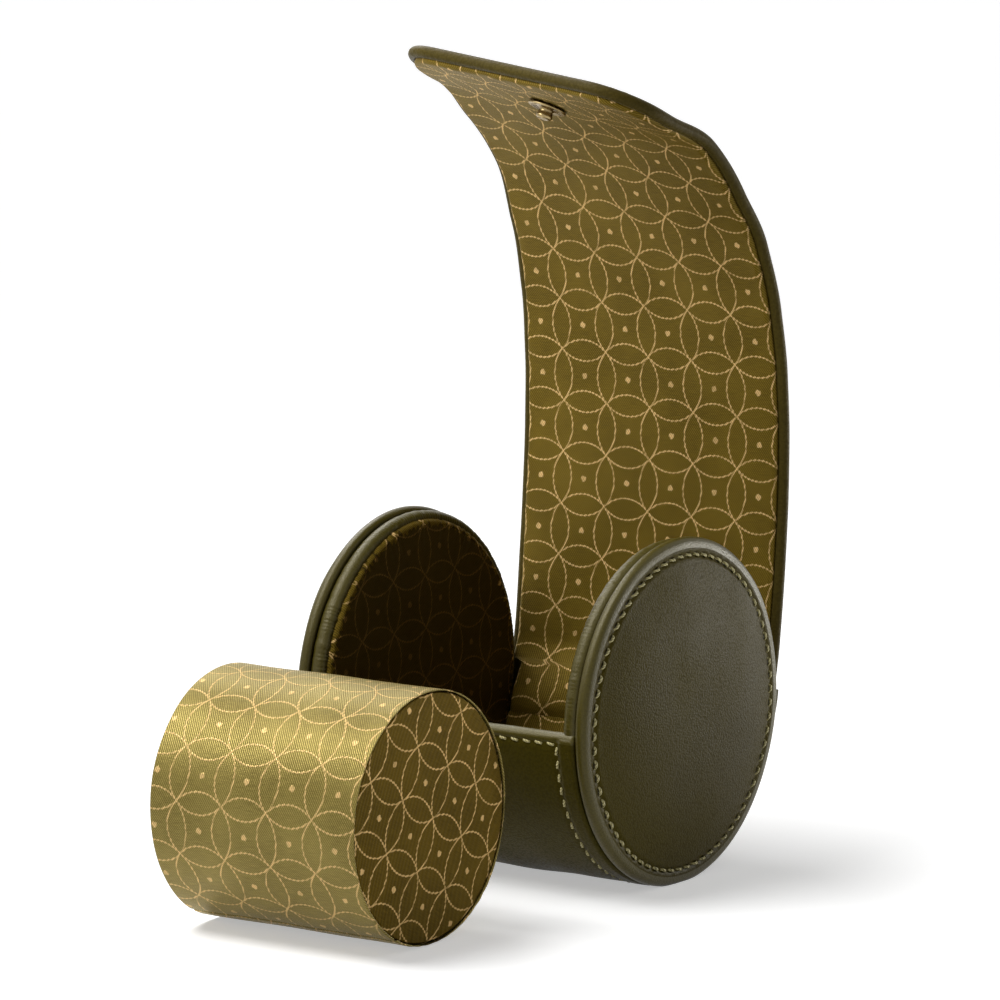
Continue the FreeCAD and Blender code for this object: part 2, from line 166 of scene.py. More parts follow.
def unit(ways):
    return ways / np.linalg.norm(ways, axis=-1, keepdims=True)


def lengths(line):
    """How far along a line each of its points is."""
    return np.concatenate([[0], np.cumsum(np.linalg.norm(np.diff(line, axis=0), axis=1))])


def look_up(at, places, table):
    """Rows of a table, read between its places."""
    return np.stack([np.interp(at, places, column) for column in table.T], -1)


def resample(line, step):
    """The same line with evenly spaced points, about step apart."""
    length = lengths(line)
    even = np.linspace(0, length[-1], max(2, int(round(length[-1] / step)) + 1))
    return look_up(even, length, line), even


def arc(centre, radius, begin, finish, count=24):
    """Points of an arc in the plane; angles in degrees, and radius may be a pair for an ellipse."""
    turn = np.radians(np.linspace(begin, finish, count))
    across, up = np.broadcast_to(radius, 2)
    return rows_of(centre[0] + across * np.cos(turn), centre[1] + up * np.sin(turn))


def line_normals(line):
    """Unit normals on the right of a line in the plane."""
    way = unit(np.gradient(line, axis=0))
    return rows_of(way[:, 1], -way[:, 0])


def turned(across, along, heading):
    """A flat place, or places, turned by a heading."""
    cosine = math.cos(heading)
    sine = math.sin(heading)
    return across * cosine - along * sine, across * sine + along * cosine


def smooth(value):
    value = np.clip(value, 0, 1)
    return value * value * (3 - 2 * value)


def bell(distance, width):
    return np.exp(-((distance / width) ** 2))


def hermite(start, end, start_way, end_way, reach, share):
    """Cubic from start to end, which leaves and arrives in the given directions."""
    begin = 2 * share**3 - 3 * share**2 + 1
    leave = share**3 - 2 * share**2 + share
    arrive = share**3 - share**2
    return begin * start + (1 - begin) * end + reach * (leave * start_way + arrive * end_way)


WAVE_PEAK = 1.5


def ripples(turn, slowest, fastest, count, seed):
    """Uneven ripples round a full turn, about 1 high: cosines whose wave counts and phases are seeded."""
    chance = np.random.default_rng(seed)
    total = np.zeros_like(turn)
    for _ in range(count):
        waves = chance.integers(slowest, fastest)
        total += np.cos(waves * turn + chance.uniform(0, FULL_TURN))
    return total * math.sqrt(2 / count) / WAVE_PEAK


def swells(across, along, length, count, seed):
    """Uneven soft swells on a flat place, about 1 high, with waves around the given length."""
    chance = np.random.default_rng(seed)
    total = np.zeros_like(across + along)
    for _ in range(count):
        heading = chance.uniform(0, FULL_TURN)
        waves = FULL_TURN / (length * chance.uniform(0.6, 1.6))
        way = across * math.cos(heading) + along * math.sin(heading)
        total += np.cos(waves * way + chance.uniform(0, FULL_TURN))
    return total * math.sqrt(2 / count) / WAVE_PEAK


def lathe(name, line, sides, material, place, relief=None, flat=None):
    """Surface turned from (along, radius) points. place puts (along, y, z) into the frame,
    relief(line, turn) lifts it along its normal, and flat(points) gives the place on the material."""
    turn = np.linspace(0, FULL_TURN, sides + 1)[None, :]
    normals = line_normals(line)
    lift = relief(line, turn) if relief else np.zeros((len(line), sides + 1))
    lift[:, -1] = lift[:, 0]
    along = line[:, :1] + normals[:, :1] * lift
    radius = np.maximum(line[:, 1:] + normals[:, 1:] * lift, 0)
    points = rows_of(along, radius * np.cos(turn), radius * np.sin(turn))
    points[:, 1:][np.repeat(line[:, 1] < NEARLY_NOTHING, sides + 1)] = 0
    if flat:
        uv = flat(points)
    else:
        uv = rows_of(lengths(line)[:, None], turn * line[:, 1].max())
    return build(name, place(points), grid_faces(len(line), sides + 1)[:, ::-1], uv / MM, material)


def stitches(name, places, surface, material):
    """Thread stitches at (across, along, heading) places, which surface turns into points."""
    rings = 11
    around = 8
    taper = 0.35
    ply = 0.09
    twist = 9
    rise = 0.75
    drop = 2.1
    turn = np.linspace(0, FULL_TURN, around, endpoint=False)
    share = np.linspace(-1, 1, rings)[:, None]
    radius = THREAD_RADIUS * (1 - taper * share**4) * (1 + ply * np.cos(2 * turn + twist * share))
    arch = THREAD_RADIUS * (rise - drop * share**4)
    ahead = share * STITCH_LENGTH / 2 + 0 * radius
    aside = radius * np.cos(turn)
    height = arch + radius * np.sin(turn)
    here = np.arange(around)
    after = (here + 1) % around
    band = np.stack([here, after, around + after, around + here], 1)
    tube = (band + around * np.arange(rings - 1)[:, None, None]).reshape(-1, 4).tolist()
    tube += [here[::-1].tolist(), (here + (rings - 1) * around).tolist()]
    points = []
    uv = []
    faces = []
    for across, along, heading in places:
        start = len(points) * rings * around
        over, on = turned(ahead, aside, heading + STITCH_SLANT)
        points.append(surface(across + over, along + on, height).reshape(-1, 3))
        uv.append(rows_of(ahead, turn * THREAD_RADIUS))
        faces += [[start + corner for corner in face] for face in tube]
    return turn_outwards(build(name, np.concatenate(points), faces, np.concatenate(uv) / MM, material))


def repaint(piece, material, chosen):
    """Gives another material to the polygons whose middles are chosen."""
    piece.data.materials.append(material)
    middles = np.array([polygon.center for polygon in piece.data.polygons])
    piece.data.polygons.foreach_set("material_index", chosen(middles).astype(np.int32))


def turn_outwards(piece):
    """Points the faces of closed shells out of them."""
    work = bmesh.new()
    work.from_mesh(piece.data)
    bmesh.ops.recalc_face_normals(work, faces=work.faces)
    work.to_mesh(piece.data)
    work.free()
    return piece


def settle(piece, body):
    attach(piece, body)


# Materials

class Nodes:
    """A material's or world's node tree, with short calls that add nodes and join them."""

    def __init__(self, name, kind=bpy.data.materials, shader="Principled BSDF"):
        self.owner = kind.new(name)
        self.owner.use_nodes = True
        self.tree = self.owner.node_tree
        self.shader = self.tree.nodes[shader]

    def add(self, kind, inputs=None, **settings):
        made = self.tree.nodes.new("ShaderNode" + kind)
        for key, value in settings.items():
            setattr(made, key, value)
        for key, value in (inputs or {}).items():
            self.give(made.inputs[key], value)
        return made

    def give(self, socket, value):
        if isinstance(value, bpy.types.NodeSocket):
            self.tree.links.new(value, socket)
        else:
            socket.default_value = value

    def maths(self, operation, first, second=0.0, third=0.0):
        return self.add("Math", {0: first, 1: second, 2: third}, operation=operation).outputs[0]

    def vector(self, operation, *vectors, output=0, **named):
        inputs = {**dict(enumerate(vectors)), **named}
        return self.add("VectorMath", inputs, operation=operation).outputs[output]

    def flat(self):
        """Place on the flat material, in millimetres."""
        return self.add("UVMap", uv_map="flat").outputs[0]

    def span(self, value, low, high, begin=0.0, finish=1.0):
        """Maps low to high onto begin to finish, clamped."""
        inputs = {"Value": value, "From Min": low, "From Max": high, "To Min": begin, "To Max": finish}
        return self.add("MapRange", inputs, interpolation_type="SMOOTHSTEP").outputs[0]

    def noise(self, coordinates, scale, detail=2.0, roughness=0.5):
        inputs = {"Vector": coordinates, "Scale": scale, "Detail": detail, "Roughness": roughness}
        return self.add("TexNoise", inputs).outputs["Fac"]

    def mix(self, factor, first, second):
        return self.add("Mix", {0: factor, 6: first, 7: second}, data_type="RGBA").outputs[2]

    def bump(self, height, distance, strength=1.0):
        inputs = {"Height": height, "Distance": distance, "Strength": strength}
        return self.add("Bump", inputs).outputs[0]

    def painted_crease_shade(self, shade):
        """The colour with painted shade: darker where ambient occlusion finds narrow creases and seams."""
        open_share = self.add("AmbientOcclusion", {"Distance": CREASE_REACH}, samples=6).outputs["AO"]
        return self.mix(self.span(open_share, 0.2, 0.75, CREASE_SHADE, 1.0), (0, 0, 0, 1), shade)

    def set(self, **sockets):
        for key, value in sockets.items():
            self.give(self.shader.inputs[key.replace("_", " ")], value)

    def show(self, socket, output):
        self.tree.links.new(socket, self.tree.nodes[output].inputs["Surface"])


# Painted shade in creases: how far the occlusion looks, and how dark the deepest crease is painted
CREASE_REACH = 1.8 * MM
CREASE_SHADE = 0.35


def colour(red, green, blue):
    """Linear colour of a screen colour given from 0 to 255."""
    parts = [channel / 255 for channel in (red, green, blue)]
    linear = [part / 12.92 if part <= 0.04045 else ((part + 0.055) / 1.055) ** 2.4 for part in parts]
    return (*linear, 1.0)


def darker(shade, share):
    return (*(part * share for part in shade[:3]), 1.0)


LEATHER_SHEEN = colour(255, 246, 214)
SATIN_SHEEN = colour(255, 236, 176)


def leather(name, flat, grain, shades, roughness, shine):
    """Dyed leather with a pebbled grain of the given size. A flat one follows the mesh as it bends."""
    dark, light = shades
    nodes = Nodes(name)
    if flat:
        place = nodes.vector("SCALE", nodes.flat(), Scale=MM)
    else:
        place = nodes.add("TexCoord").outputs["Object"]
    pebbles = nodes.add("TexVoronoi", {"Vector": place, "Scale": 1 / grain, "Smoothness": 0.35},
                        feature="SMOOTH_F1").outputs["Distance"]
    pores = nodes.noise(place, 2.2 / grain, 3.0, 0.6)
    patches = nodes.noise(place, 55.0, 3.0, 0.55)
    clouds = nodes.noise(place, 14.0, 2.0)
    shade = nodes.mix(nodes.span(clouds, 0.3, 0.7), dark, light)
    shade = nodes.mix(nodes.span(patches, 0.3, 0.72, 0.0, 0.15), shade, light)
    shade = nodes.mix(nodes.span(pebbles, 0.35, 0.75, 0.0, 0.3), shade, darker(dark, 0.45))
    height = nodes.maths("MULTIPLY_ADD", pebbles, -1.0, nodes.maths("MULTIPLY", pores, 0.55))
    rough = nodes.maths("ADD", nodes.span(patches, 0.25, 0.75, roughness - 0.05, roughness + 0.06),
                        nodes.span(pebbles, 0.3, 0.8, 0.0, 0.12))
    # The base colour carries painted shade in creases and seams
    nodes.set(Base_Color=nodes.painted_crease_shade(shade), Roughness=rough, Normal=nodes.bump(height, grain * 0.2, 0.6),
              Specular_IOR_Level=shine, Specular_Tint=LEATHER_SHEEN)
    return nodes.owner


# Woven pattern and twill, in millimetres on the flat cloth
PATTERN_PITCH = 12.6
LINE_HALF = 0.16
LINE_SOFT = 0.12
DOT_RADIUS = 0.55
WANDER = 0.28
TWILL_PITCH = 0.62
FLOAT_PITCH = 1.9 * TWILL_PITCH

# Slopes of the threads, radius of the circles in pattern pitches, and share of metallic shine
TWILL_SLOPE = 0.75
FLOAT_SLOPE = -0.6
CIRCLE_RADIUS = math.sqrt(0.5)
SATIN_METAL = 0.3


def satin(name, shades, gold, dull, bright, shine):
    """Satin twill with a woven trellis of overlapping circles and a dot in each gap."""
    ground, raised = shades
    nodes = Nodes(name)
    layer = nodes.flat()
    wander = nodes.add("TexNoise", {"Vector": layer, "Scale": 2.6, "Detail": 1.0}).outputs["Color"]
    centred = nodes.vector("SUBTRACT", wander, (0.5, 0.5, 0.5))
    shaken = nodes.vector("MULTIPLY_ADD", centred, (WANDER, WANDER, 0), layer)
    cell = nodes.vector("FRACTION", nodes.vector("SCALE", shaken, Scale=1 / PATTERN_PITCH))
    cell = nodes.vector("ABSOLUTE", nodes.vector("SUBTRACT", cell, (0.5, 0.5, 0.0)))
    gaps = []
    for neighbour in ((1, 0, 0), (0, 1, 0)):
        reach = nodes.vector("DISTANCE", cell, neighbour, output="Value")
        gaps.append(nodes.maths("ABSOLUTE", nodes.maths("SUBTRACT", reach, CIRCLE_RADIUS)))
    ring = nodes.maths("MULTIPLY", nodes.maths("MINIMUM", *gaps), PATTERN_PITCH)
    middle = nodes.vector("LENGTH", cell, output="Value")
    dot = nodes.maths("SUBTRACT", nodes.maths("MULTIPLY", middle, PATTERN_PITCH), DOT_RADIUS)
    drawn = nodes.maths("MINIMUM", ring, dot)
    split = nodes.add("SeparateXYZ", {0: layer})

    def ridges(slope, pitch):
        ridge = nodes.maths("MULTIPLY_ADD", split.outputs[1], slope, split.outputs[0])
        return nodes.maths("SINE", nodes.maths("MULTIPLY", ridge, FULL_TURN / pitch))

    twill = ridges(TWILL_SLOPE, TWILL_PITCH)
    floats = ridges(FLOAT_SLOPE, FLOAT_PITCH)
    threads = nodes.noise(nodes.vector("MULTIPLY", layer, (0.35, 4.5, 1)), 1.0, 2.0)
    edge = nodes.maths("MULTIPLY_ADD", floats, 0.1, drawn)
    line = nodes.span(edge, LINE_HALF + LINE_SOFT, LINE_HALF - LINE_SOFT)
    broken = nodes.maths("MULTIPLY", line, nodes.span(twill, -0.9, 0.1, 0.45, 1.0))
    worn = nodes.span(nodes.noise(layer, 0.35, 3.0), 0.25, 0.6, 0.6, 1.0)
    woven = nodes.maths("MULTIPLY", broken, worn)
    cloth = nodes.mix(nodes.span(twill, -1.0, 1.0), ground, raised)
    cloth = nodes.mix(nodes.span(threads, 0.3, 0.7, 0.0, 0.5), cloth, darker(ground, 0.72))
    cloth = nodes.mix(nodes.span(nodes.noise(layer, 0.06, 2.0), 0.35, 0.7, 0.0, 0.3), cloth, raised)
    shade = nodes.mix(woven, cloth, gold)
    height = nodes.maths("MULTIPLY_ADD", woven, 1.2, nodes.maths("MULTIPLY", twill, 0.5))
    height = nodes.maths("MULTIPLY_ADD", threads, 0.8, height)
    rough = nodes.span(twill, -1.0, 1.0, dull, bright)
    # The base colour carries painted shade in creases and seams
    nodes.set(Base_Color=nodes.painted_crease_shade(shade), Roughness=rough, Normal=nodes.bump(height, 0.07 * MM, 0.7),
              Specular_IOR_Level=shine, Specular_Tint=SATIN_SHEEN, Metallic=SATIN_METAL)
    return nodes.owner


def thread(name, shades):
    """Waxed sewing thread, two plies twisted."""
    dark, pale = shades
    nodes = Nodes(name)
    split = nodes.add("SeparateXYZ", {0: nodes.flat()})
    lay = nodes.maths("MULTIPLY_ADD", split.outputs[0], 7.5, nodes.maths("MULTIPLY", split.outputs[1], 6.5))
    ply = nodes.maths("SINE", lay)
    fuzz = nodes.noise(nodes.add("TexCoord").outputs["Object"], 2500.0, 2.0)
    shade = nodes.mix(nodes.span(ply, -1.0, 0.6), dark, pale)
    shade = nodes.mix(nodes.span(fuzz, 0.35, 0.7, 0.0, 0.3), shade, pale)
    height = nodes.maths("MULTIPLY_ADD", fuzz, 0.4, ply)
    rough = nodes.span(fuzz, 0.3, 0.7, 0.5, 0.7)
    nodes.set(Base_Color=shade, Roughness=rough, Normal=nodes.bump(height, 0.05 * MM))
    return nodes.owner


def metal(name, shades):
    """Dark bronze plating, rubbed brighter on its edges, with fine turning marks."""
    dark, bright = shades
    nodes = Nodes(name)
    place = nodes.add("TexCoord").outputs["Object"]
    marks = nodes.noise(place, 1800.0, 3.0)
    stains = nodes.noise(place, 240.0, 3.0)
    rubbed = nodes.span(nodes.add("NewGeometry").outputs["Pointiness"], 0.5, 0.58)
    shade = nodes.mix(rubbed, nodes.mix(nodes.span(stains, 0.3, 0.7), dark, bright), bright)
    rough = nodes.span(stains, 0.3, 0.7, 0.2, 0.34)
    nodes.set(Base_Color=shade, Roughness=rough, Normal=nodes.bump(marks, 0.01 * MM, 0.4), Metallic=1.0)
    return nodes.owner


# Dark and light shade of each material
OLIVE = colour(57, 50, 7), colour(69, 61, 13)
RING_OLIVE = colour(60, 53, 9), colour(74, 66, 15)
FACE_OLIVE = colour(62, 53, 5), colour(72, 63, 10)
BROWN = colour(63, 53, 15), colour(77, 66, 23)
LINING = colour(76, 60, 10), colour(126, 104, 33)
# The sleeve and the lining are one satin; the sleeve's copy is lighter, painted light
SLEEVE_PAINTED_LIGHT = colour(100, 86, 36), colour(156, 140, 76)
# The pillow's end discs: a darker copy of the lining satin, painted shade
DISC_PAINTED_SHADE = colour(59, 45, 5), colour(107, 85, 22)
# The inner pads: a darker copy of the lining satin, painted shade
PAD_PAINTED_SHADE = colour(46, 34, 5), colour(66, 51, 12)
THREAD = colour(136, 126, 76), colour(206, 196, 140)
BRONZE = colour(92, 74, 46), colour(176, 156, 112)
GOLD = colour(230, 192, 128)
# Dimmer gold for the pads' pattern: painted shade
PAD_GOLD_PAINTED_SHADE = colour(118, 92, 50)

shell_leather = leather("shell_leather", False, 0.55 * MM, OLIVE, roughness=0.36, shine=0.06)
ring_leather = leather("ring_leather", False, 0.4 * MM, RING_OLIVE, roughness=0.32, shine=0.34)
face_leather = leather("face_leather", False, 0.48 * MM, FACE_OLIVE, roughness=0.38, shine=0.06)
flap_leather = leather("flap_leather", True, 0.6 * MM, BROWN, roughness=0.42, shine=0.1)
lining_cloth = satin("lining_satin", LINING, GOLD, dull=0.52, bright=0.4, shine=0.2)
# Darker copy of the lining satin: painted shade on the pillow's end discs
disc_cloth_painted_shade = satin("disc_satin_painted_shade", DISC_PAINTED_SHADE, GOLD, dull=0.56, bright=0.46, shine=0.04)
# Darker copy of the lining satin with dimmer gold: painted shade on the inner pads
pad_cloth = satin("pad_satin_painted_shade", PAD_PAINTED_SHADE, PAD_GOLD_PAINTED_SHADE, dull=0.52, bright=0.4, shine=0.2)
# Lighter copy of the lining satin: painted light on the pillow's sleeve
sleeve_cloth_painted_light = satin("sleeve_satin_painted_light", SLEEVE_PAINTED_LIGHT, GOLD, dull=0.42, bright=0.28, shine=0.25)
seam_thread = thread("seam_thread", THREAD)
bronze = metal("bronze", BRONZE)


# End caps: leather face with its sewn rim, ruched ring behind it, and inner pad

SEAM_STITCHES = 70
RING_SIDES = 1080
PAD_SIDES = 960
seam_radius = disc_radius - SEAM_INSET
face_rim = cap_high.x - FACE_CROWN


def seated(side, middle):
    """Puts (along, y, z) round a middle, turned half round for the left side, and not below the floor."""
    def place(points):
        placed = points * (side, side, 1) + middle
        placed[:, 2] = np.maximum(placed[:, 2], 0)
        return placed
    return place


def from_axis(places):
    return np.hypot(places[:, 1], places[:, 2] - axis_z)


def face_along(radius):
    dome = FACE_DOME * np.maximum(1 - (radius / seam_radius) ** 3, 0)
    return cap_high.x - FACE_CROWN * (radius / disc_radius) ** 2 + dome


def seam_dip(radius, turn):
    """The seam pulls the leather in, most where the thread goes through between two stitches."""
    pull = SEAM_PULL * (1 + 0.5 * np.cos(SEAM_STITCHES * turn))
    puff = 0.16 * MM
    apart = radius - seam_radius
    return puff * bell(apart, 2.4 * SEAM_WIDTH) - (pull + puff) * bell(apart, SEAM_WIDTH)


def cap_line():
    flat_rim = disc_radius - RIM_ROUND
    inner = np.linspace(0, seam_radius - 2.6 * MM, 26)
    radius = np.concatenate([inner, np.arange(seam_radius - 2.4 * MM, flat_rim, 0.22 * MM)])
    face = rows_of(face_along(radius), radius)
    front = arc((face_rim - RIM_ROUND, flat_rim), RIM_ROUND, 0, 90, 10)
    back = arc((cap_low.x + RIM_ROUND, flat_rim), RIM_ROUND, 90, 180, 10)
    tucked = [(cap_low.x + 0.25 * MM, flat_rim - 1.6 * MM)]
    return np.concatenate([face, front, back, tucked])


def cap_relief(line, turn):
    radius = line[:, 1:]
    on_face = line[:, :1] > face_rim - 0.3 * MM
    soft = 0.1 * MM * ripples(turn, 2, 9, 6, 3) * smooth(radius / disc_radius)
    return np.where(on_face, seam_dip(radius, turn) + soft, 0.25 * soft)


def ring_line():
    middle = ((ring_low.x + ring_high.x) / 2, ring_high.y - 1.0 * MM)
    return arc(middle, (1.98 * MM, 1.6 * MM), -38, 215, 40)


def ring_relief(seed):
    def relief(line, turn):
        around = np.linspace(0, 1, len(line))[:, None]
        fine = ripples(turn, 150, 360, 18, seed)
        broad = ripples(turn, 25, 80, 8, seed + 1)
        gather = 0.35 + 0.65 * smooth((around - 0.35) / 0.5)
        drift = ripples(turn + 0.05 * around, 60, 180, 10, seed + 2)
        return MM * (gather * (0.05 * fine + 0.03 * drift) + 0.035 * broad)
    return relief


PAD_GATHERS = 96
PAD_EDGE = 1.3 * MM
PAD_CROWN = 0.8 * MM
PAD_ROUND = 1.2 * MM


def pad_line():
    edge = pad_high.y
    crown_rim = pad_low.x + PAD_CROWN
    inner = np.linspace(0, edge - 7 * MM, 18)
    radius = np.concatenate([inner, np.arange(edge - 6.6 * MM, edge - PAD_ROUND, 0.3 * MM)])
    face = rows_of(crown_rim - PAD_CROWN * (1 - (radius / edge) ** 2), radius)
    rim = arc((crown_rim + 1.15 * MM, edge - PAD_ROUND), PAD_ROUND, 180, 80, 14)
    return np.concatenate([face, rim])[::-1]


def pad_relief(seed):
    def relief(line, turn):
        from_edge = pad_high.y - line[:, 1:]
        pleats = np.abs(np.sin(PAD_GATHERS / 2 * turn + 1.3 * ripples(turn, 3, 24, 8, seed))) - 0.6
        uneven = 0.6 + 0.5 * ripples(turn, 5, 40, 8, seed + 1)
        reach = 1.6 * MM + 0.9 * MM * (1 + ripples(turn, 8, 60, 8, seed + 2))
        soft = 0.12 * MM * ripples(turn, 2, 7, 5, seed + 3) * smooth(line[:, 1:] / pad_high.y)
        return 0.3 * MM * uneven * pleats * np.exp(-from_edge / reach) + soft
    return relief


def gathered_edge(places):
    """True on the pad's drawn-in edge, which ends unevenly where its gathers run out."""
    turn = np.arctan2(places[:, 2] - axis_z, places[:, 1])
    width = PAD_EDGE * (1 + 0.55 * ripples(turn, 40, 170, 10, 17))
    return from_axis(places) > pad_high.y - width


def make_cap(name, side):
    place = seated(side, (0, 0, axis_z))

    def flat(points):
        return points[:, 1:] * (side, 1)

    face = lathe(f"{name}_cap_face", cap_line(), 8 * SEAM_STITCHES, face_leather, place, cap_relief, flat)
    repaint(face, ring_leather, lambda at: from_axis(at) > seam_radius + RIM_START)
    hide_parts(f"{name}_cap_leather", f"{name}_cap_foam", f"{name}_cap_board")
    ring = lathe(f"{name}_ruched_ring", ring_line(), RING_SIDES, ring_leather, place, ring_relief(7 + side))
    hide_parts(f"{name}_ring_leather", f"{name}_ring_core")
    # The pad wears the darker copy of the lining satin, painted shade; the repaint below gives its gathered
    # edge the lining satin itself
    pad = lathe(f"{name}_inner_pad", pad_line(), PAD_SIDES, pad_cloth, place, pad_relief(31 + side), flat)
    repaint(pad, lining_cloth, gathered_edge)
    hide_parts(f"{name}_pad_cloth", f"{name}_pad_foam")

    def surface(across, along, height):
        radius = seam_radius - across
        turn = along / seam_radius
        out = face_along(radius) + seam_dip(radius, turn + math.pi / SEAM_STITCHES) + height + CAP_STITCH_LIFT
        return place(rows_of(out, radius * np.cos(turn), radius * np.sin(turn)))

    arcs = np.arange(SEAM_STITCHES) * FULL_TURN * seam_radius / SEAM_STITCHES
    sewn = stitches(f"{name}_cap_stitches", [(0, at, math.pi / 2) for at in arcs], surface, seam_thread)
    for piece in (face, ring, sewn):
        settle(piece, "case")
    settle(pad, "case")


make_cap("right", 1)
make_cap("left", -1)


# Flap: hinge points come from the joints, and each panel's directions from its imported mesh

flap_joints = [joint for joint in frame["joints"] if joint["child"].startswith("flap_panel")]
hinges = np.array([joint["pos_m"] for joint in flap_joints])
PANELS = len(hinges)
panel_length = float(np.linalg.norm(hinges[1] - hinges[0]))


def node_points(node):
    return np.array([vertex.co for vertex in frame["nodes"][node].data.vertices])


def panel_axes(number):
    """Across and along directions of a panel, counted from 1."""
    spread = node_points(f"flap_leather_{number}")
    spread = spread - spread.mean(0)
    axes = np.linalg.eigh(spread.T @ spread)[1]
    across = axes[:, 2] * np.sign(axes[0, 2])
    if number < PANELS:
        along = hinges[number] - hinges[number - 1]
    else:
        ahead = hinges[-1] - hinges[-2]
        along = axes[:, 1] * np.sign(axes[:, 1] @ ahead)
    return unit(across - along * (across @ along) / (along @ along)), unit(along)


panels = [panel_axes(number) for number in range(1, PANELS + 1)]
mid_panels = np.array([hinge + along * panel_length / 2 for hinge, (_, along) in zip(hinges, panels)])
flap_end = (PANELS - 1) * panel_length + float(
    ((node_points(f"flap_leather_{PANELS}") - hinges[-1]) @ panels[-1][1]).max())

# The flap's middle line passes through every panel's middle, in line with it there
TABLE_STEPS = 24
table_along = [-LEAD_IN - panel_length]
table_middle = [hinges[0] + panels[0][1] * table_along[0]]
table_across = [panels[0][0]]
steps = np.linspace(0, 1, TABLE_STEPS, endpoint=False)[:, None]
eased = smooth(steps)
for number in range(PANELS - 1):
    (across_here, way_here), (across_next, way_next) = panels[number:number + 2]
    table_along.extend((number + 0.5 + steps[:, 0]) * panel_length)
    table_middle.extend(hermite(*mid_panels[number:number + 2], way_here, way_next, panel_length, steps))
    table_across.extend(across_here * (1 - eased) + across_next * eased)
for along in ((PANELS - 0.5) * panel_length, flap_end + panel_length):
    table_along.append(along)
    table_middle.append(hinges[-1] + panels[-1][1] * (along - (PANELS - 1) * panel_length))
    table_across.append(panels[-1][0])
table_along = np.array(table_along)
table_middle = np.array(table_middle)
table_across = np.array(table_across)


def table_at(table, along):
    return look_up(along, table_along, table)


def flap_place(across, along, out):
    """Point of the open flap: across from its middle, along from its hinge, out from the lining's face."""
    across, along, out = np.broadcast_arrays(across, along, out)
    step = 0.4 * MM
    way = unit(table_at(table_middle, along + step) - table_at(table_middle, along - step))
    side = table_at(table_across, along)
    side = unit(side - way * (side * way).sum(-1, keepdims=True))
    outward = np.cross(way, side)
    return table_at(table_middle, along) + side * across[..., None] + outward * out[..., None]


ROWS_PER_PANEL = 16
CORNER_STEPS = 14
COLUMN_STEP = 1.1 * MM


def flap_rows(first, last):
    """Row places along the flap, with a row at every panel's middle."""
    middles = (np.arange(PANELS) + 0.5) * panel_length
    stops = [first, *[middle for middle in middles if first < middle < last], last]
    rows = [np.linspace(a, b, max(2, int(round((b - a) / panel_length * ROWS_PER_PANEL)) + 1))[:-1]
            for a, b in zip(stops, stops[1:])]
    return np.concatenate([*rows, [last]])


def joined(strip, field):
    return np.concatenate([strip.ravel(), field.ravel()])


def flap_sheet(name, section, half, end, corner, first, relief, place, material):
    """One side of the whole flap. section is (distance in from the edge, out) from the edge's tucked side to
    the flat face; the edge follows the sides and the rounded end."""
    inner = half - corner
    rows = flap_rows(first, end - corner)
    columns = np.linspace(-inner, inner, int(round(2 * inner / COLUMN_STEP)) + 1)
    fan = np.radians(np.linspace(180, 90, CORNER_STEPS + 1))[1:-1]
    left = [(-inner, row, -1.0, 0.0) for row in rows]
    left += [(-inner, rows[-1], math.cos(turn), math.sin(turn)) for turn in fan]
    stations = left + [(column, rows[-1], 0.0, 1.0) for column in columns]
    stations += [(-across, along, -side, ahead) for across, along, side, ahead in left[::-1]]
    base_across, base_along, side, ahead = np.array(stations).T[:, :, None]
    inset, out = section.T
    length = lengths(section)
    unrolled = length[-1] - length
    edge = [base_across + side * (corner - inset), base_along + ahead * (corner - inset)]
    edge_flat = [base_across + side * unrolled, base_along + ahead * unrolled]
    field = np.meshgrid(columns, rows)
    across, along = map(joined, edge, field)
    flat = rows_of(*map(joined, edge_flat, field))
    strip_shape = edge[0].shape
    inward = joined(np.broadcast_to(inset, strip_shape), np.full(field[0].size, corner))
    level = joined(np.broadcast_to(out, strip_shape), np.full(field[0].size, out[-1]))
    points = place(across, along, level + relief(across, along, inward))
    faces = np.concatenate([
        grid_faces(*strip_shape),
        grid_faces(len(rows), len(columns), across.size - field[0].size),
    ])
    return build(name, points, faces, flat / MM, material)


def panel_at(along):
    """Number, from 0, of the cut piece that holds a place along the flap."""
    return int(np.clip(along / panel_length + 0.5, 0, PANELS - 1))


def cut_at_panels(whole, name):
    """Cuts a flap sheet at each panel's middle. The pieces keep its normals, so no cut shows."""
    mesh = whole.data
    places = np.array([vertex.co for vertex in mesh.vertices])
    normals = np.array([vertex.normal for vertex in mesh.vertices])
    flat = np.array([loop.uv for loop in mesh.uv_layers["flat"].data])
    cuts = [[] for _ in range(PANELS)]
    for polygon in mesh.polygons:
        along = flat[list(polygon.loop_indices), 1].mean() * MM
        cuts[panel_at(along)].append(polygon)
    pieces = []
    for number, polygons in enumerate(cuts, start=1):
        used = sorted({vertex for polygon in polygons for vertex in polygon.vertices})
        index = {vertex: place for place, vertex in enumerate(used)}
        part = bpy.data.meshes.new(f"{name}_{number}")
        faces = [[index[vertex] for vertex in polygon.vertices] for polygon in polygons]
        part.from_pydata(places[used].tolist(), [], faces)
        loops = [loop for polygon in polygons for loop in polygon.loop_indices]
        part.uv_layers.new(name="flat").data.foreach_set("uv", flat[loops].astype(np.float32).ravel())
        part.materials.append(mesh.materials[0])
        part.shade_smooth()
        part.normals_split_custom_set_from_vertices(normals[used].tolist())
        pieces.append(link(part.name, part))
    bpy.data.objects.remove(whole)
    return pieces


def bend_with_flap(piece):
    """Bakes a piece's placement into its mesh."""
    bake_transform(piece)


